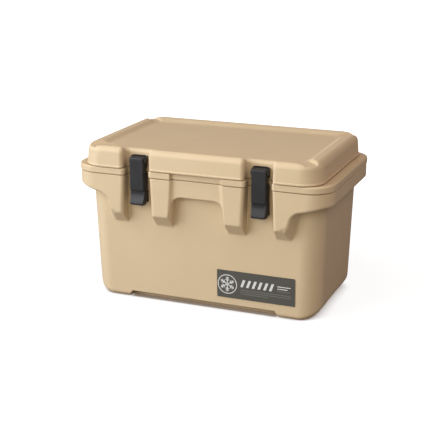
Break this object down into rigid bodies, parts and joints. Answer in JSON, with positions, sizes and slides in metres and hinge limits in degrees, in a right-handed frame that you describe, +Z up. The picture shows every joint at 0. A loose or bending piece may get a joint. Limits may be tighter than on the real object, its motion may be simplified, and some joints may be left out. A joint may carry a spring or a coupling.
{
  "type": "hard cooler chest",
  "caption": "Insulated hard-sided cooler chest with a drafted tub, skirted rim, hinged insulated lid, lever latches and a screw-in drain plug.",
  "frame": {"origin": "centre of the collar in plan, on the plane of the flat base", "axes": "+X to the right seen from the front, -Y out of the front with the latches, +Z up"},
  "size_m": [0.52, 0.3261, 0.3135],
  "materials": {
    "sand_shell": "fine-grained matt moulded polyethylene, sand",
    "liner_grey": "smooth satin, light grey",
    "foam": "rigid polyurethane foam, hidden",
    "plate": "satin printed plate, dark olive grey",
    "black_plastic": "satin glass-filled nylon, black",
    "steel": "stainless, satin",
    "gasket": "soft matt rubber"
  },
  "bodies": {
    "body": {"outer_shell": "sand_shell", "rim_collar": "sand_shell", "inner_liner": "liner_grey", "body_insulation": "foam", "name_plate": "plate", "left_latch_keeper": "black_plastic", "right_latch_keeper": "black_plastic", "keeper_screws": "steel", "left_hinge_base": "black_plastic", "right_hinge_base": "black_plastic", "hinge_base_screws": "steel", "left_hinge_pin": "steel", "right_hinge_pin": "steel", "drain_spout": "black_plastic", "drain_nut": "black_plastic"},
    "lid": {"lid_shell": "sand_shell", "lid_liner": "liner_grey", "lid_insulation": "foam", "lid_gasket": "gasket", "left_hinge_leaf": "black_plastic", "right_hinge_leaf": "black_plastic", "hinge_leaf_screws": "steel", "left_latch_bracket": "black_plastic", "right_latch_bracket": "black_plastic", "bracket_screws": "steel", "left_latch_pin": "steel", "right_latch_pin": "steel"},
    "latch_left": {"left_latch_lever": "black_plastic"},
    "latch_right": {"right_latch_lever": "black_plastic"},
    "drain_washer": {"drain_seal": "gasket"},
    "drain_knob": {"drain_plug": "black_plastic"}
  },
  "joints": [
    {"name": "lid_hinge", "type": "hinge", "parent": "body", "child": "lid", "pos_m": [0, 0.163, 0.272], "axis": [-1, 0, 0], "range_deg": [0, 95]},
    {"name": "latch_left_pivot", "type": "hinge", "parent": "lid", "child": "latch_left", "pos_m": [-0.1238, -0.142, 0.2868], "axis": [-1, 0, 0], "range_deg": [0, 100]},
    {"name": "latch_right_pivot", "type": "hinge", "parent": "lid", "child": "latch_right", "pos_m": [0.1238, -0.142, 0.2868], "axis": [-1, 0, 0], "range_deg": [0, 100]},
    {"name": "drain_slide", "type": "slide", "parent": "body", "child": "drain_washer", "axis": [-1, 0, 0], "range_m": [0, 0.0151]},
    {"name": "drain_turn", "type": "hinge", "parent": "drain_washer", "child": "drain_knob", "pos_m": [-0.24, 0, 0.054], "axis": [-1, 0, 0], "range_deg": [0, 1800]}
  ],
  "couplings": [
    {"joint": "drain_slide", "follows": "drain_turn", "m_per_rad": 0.00047746}
  ]
}
